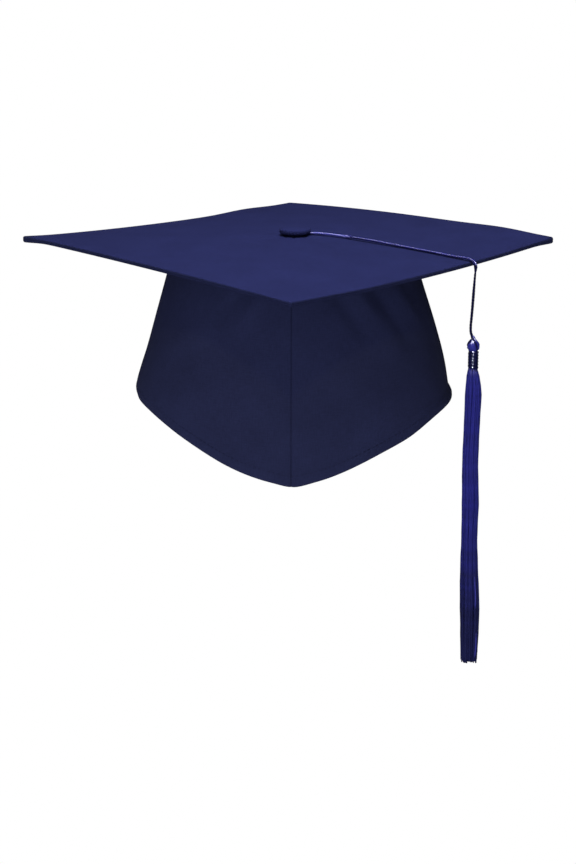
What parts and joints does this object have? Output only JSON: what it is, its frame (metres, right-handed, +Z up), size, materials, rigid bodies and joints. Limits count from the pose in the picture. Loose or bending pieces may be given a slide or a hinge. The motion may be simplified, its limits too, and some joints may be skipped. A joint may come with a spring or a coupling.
{
  "type": "graduation cap",
  "caption": "Graduation cap: square cloth-covered board on a flared skullcap, with a covered button and a tassel that swivels at the button, swings at the board's edge and bends at its collar.",
  "frame": {"origin": "centre of the head opening, level with the lower edge at the sides of the skullcap", "axes": "+Z up out of the head, -Y towards the front point of the skullcap and the board's front corner, +X to the wearer's left, the tassel's side"},
  "size_m": [0.3394, 0.3394, 0.2767],
  "materials": {
    "board_cloth": "matte",
    "cap_cloth": "matte",
    "lining_cloth": "matte",
    "interlining": "matte",
    "paperboard": "matte",
    "elastic": "matte",
    "button_metal": "satin",
    "rivet_metal": "satin",
    "cord": "satin",
    "tassel_thread": "satin",
    "tassel_strands": "satin"
  },
  "bodies": {
    "cap": {"board_insert": "paperboard", "board_top_cover": "board_cloth", "board_underside_cover": "board_cloth", "button_cover": "board_cloth", "button_shell": "button_metal", "button_back_plate": "button_metal", "button_post": "rivet_metal", "button_washer": "rivet_metal", "crown_stiffener": "paperboard", "crown_cloth": "lining_cloth", "crown_seam_tape": "lining_cloth", "front_left_panel": "cap_cloth", "front_right_panel": "cap_cloth", "back_panel": "cap_cloth", "front_left_interlining": "interlining", "front_right_interlining": "interlining", "centre_front_seam_strip": "cap_cloth", "left_side_seam_strip": "cap_cloth", "right_side_seam_strip": "cap_cloth", "front_headband": "lining_cloth", "back_elastic_casing": "lining_cloth", "back_elastic": "elastic"},
    "tassel_lead": {"tassel_loop": "cord", "tassel_cord_lead": "cord", "tassel_whipping": "cord"},
    "tassel_drop": {"tassel_cord_drop": "cord", "tassel_head_knot": "cord", "tassel_collar_wrap": "tassel_thread", "tassel_core": "tassel_strands"},
    "tassel_skirt": {"tassel_skirt_outer": "tassel_strands", "tassel_skirt_inner": "tassel_strands"}
  },
  "joints": [
    {"name": "tassel_swivel", "type": "hinge", "parent": "cap", "child": "tassel_lead", "pos_m": [0.0013, 0, 0.105], "axis": [0, 0, 1], "range_deg": [-30, 0]},
    {"name": "tassel_swing", "type": "hinge", "parent": "tassel_lead", "child": "tassel_drop", "pos_m": [0.1103, -0.0604, 0.0955], "axis": [-0.7071, -0.7071, 0], "range_deg": [-7, 75]},
    {"name": "skirt_sway", "type": "hinge", "parent": "tassel_drop", "child": "tassel_skirt", "pos_m": [0.1103, -0.0604, 0.0253], "axis": [0.7071, -0.7071, 0], "range_deg": [-25, 25]}
  ]
}
